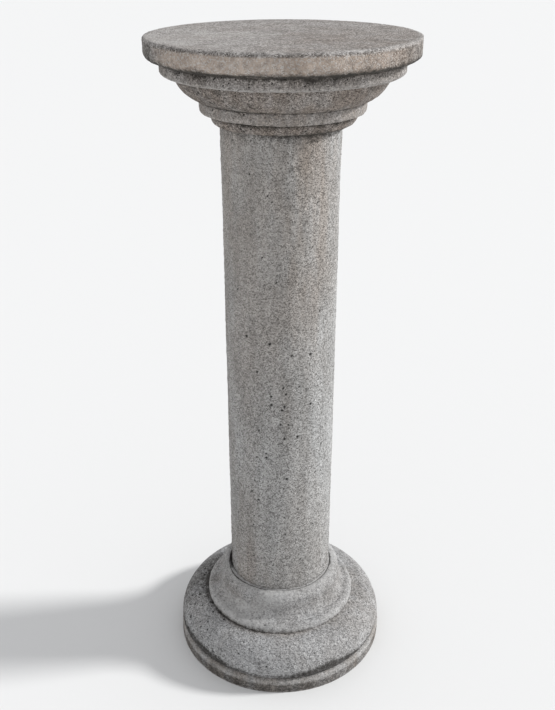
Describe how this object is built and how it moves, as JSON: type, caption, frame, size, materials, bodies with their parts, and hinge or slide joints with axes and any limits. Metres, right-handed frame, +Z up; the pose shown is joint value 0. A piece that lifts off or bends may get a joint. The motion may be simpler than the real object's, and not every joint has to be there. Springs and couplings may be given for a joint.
{
  "type": "doric garden column",
  "caption": "Short round cast-stone column with a moulded base, a plain shaft and a moulded capital whose flat round slab carries a pot or statue.",
  "frame": {"origin": "on the ground, at the column's axis, at the middle of the base's underside", "axes": "+Z up along the column's axis; the column is round, so +X and +Y are level and free"},
  "size_m": [0.376, 0.376, 1.0206],
  "materials": {
    "base_stone": "weathered cast stone, fine sandy grain, dirt in the creases",
    "shaft_stone": "weathered cast stone, coarse sandy grain with small pits",
    "capital_stone": "weathered cast stone, warm buff face, sooty creases and worn edges"
  },
  "bodies": {
    "root": {"base": "base_stone", "shaft": "shaft_stone", "capital": "capital_stone"}
  },
  "joints": []
}
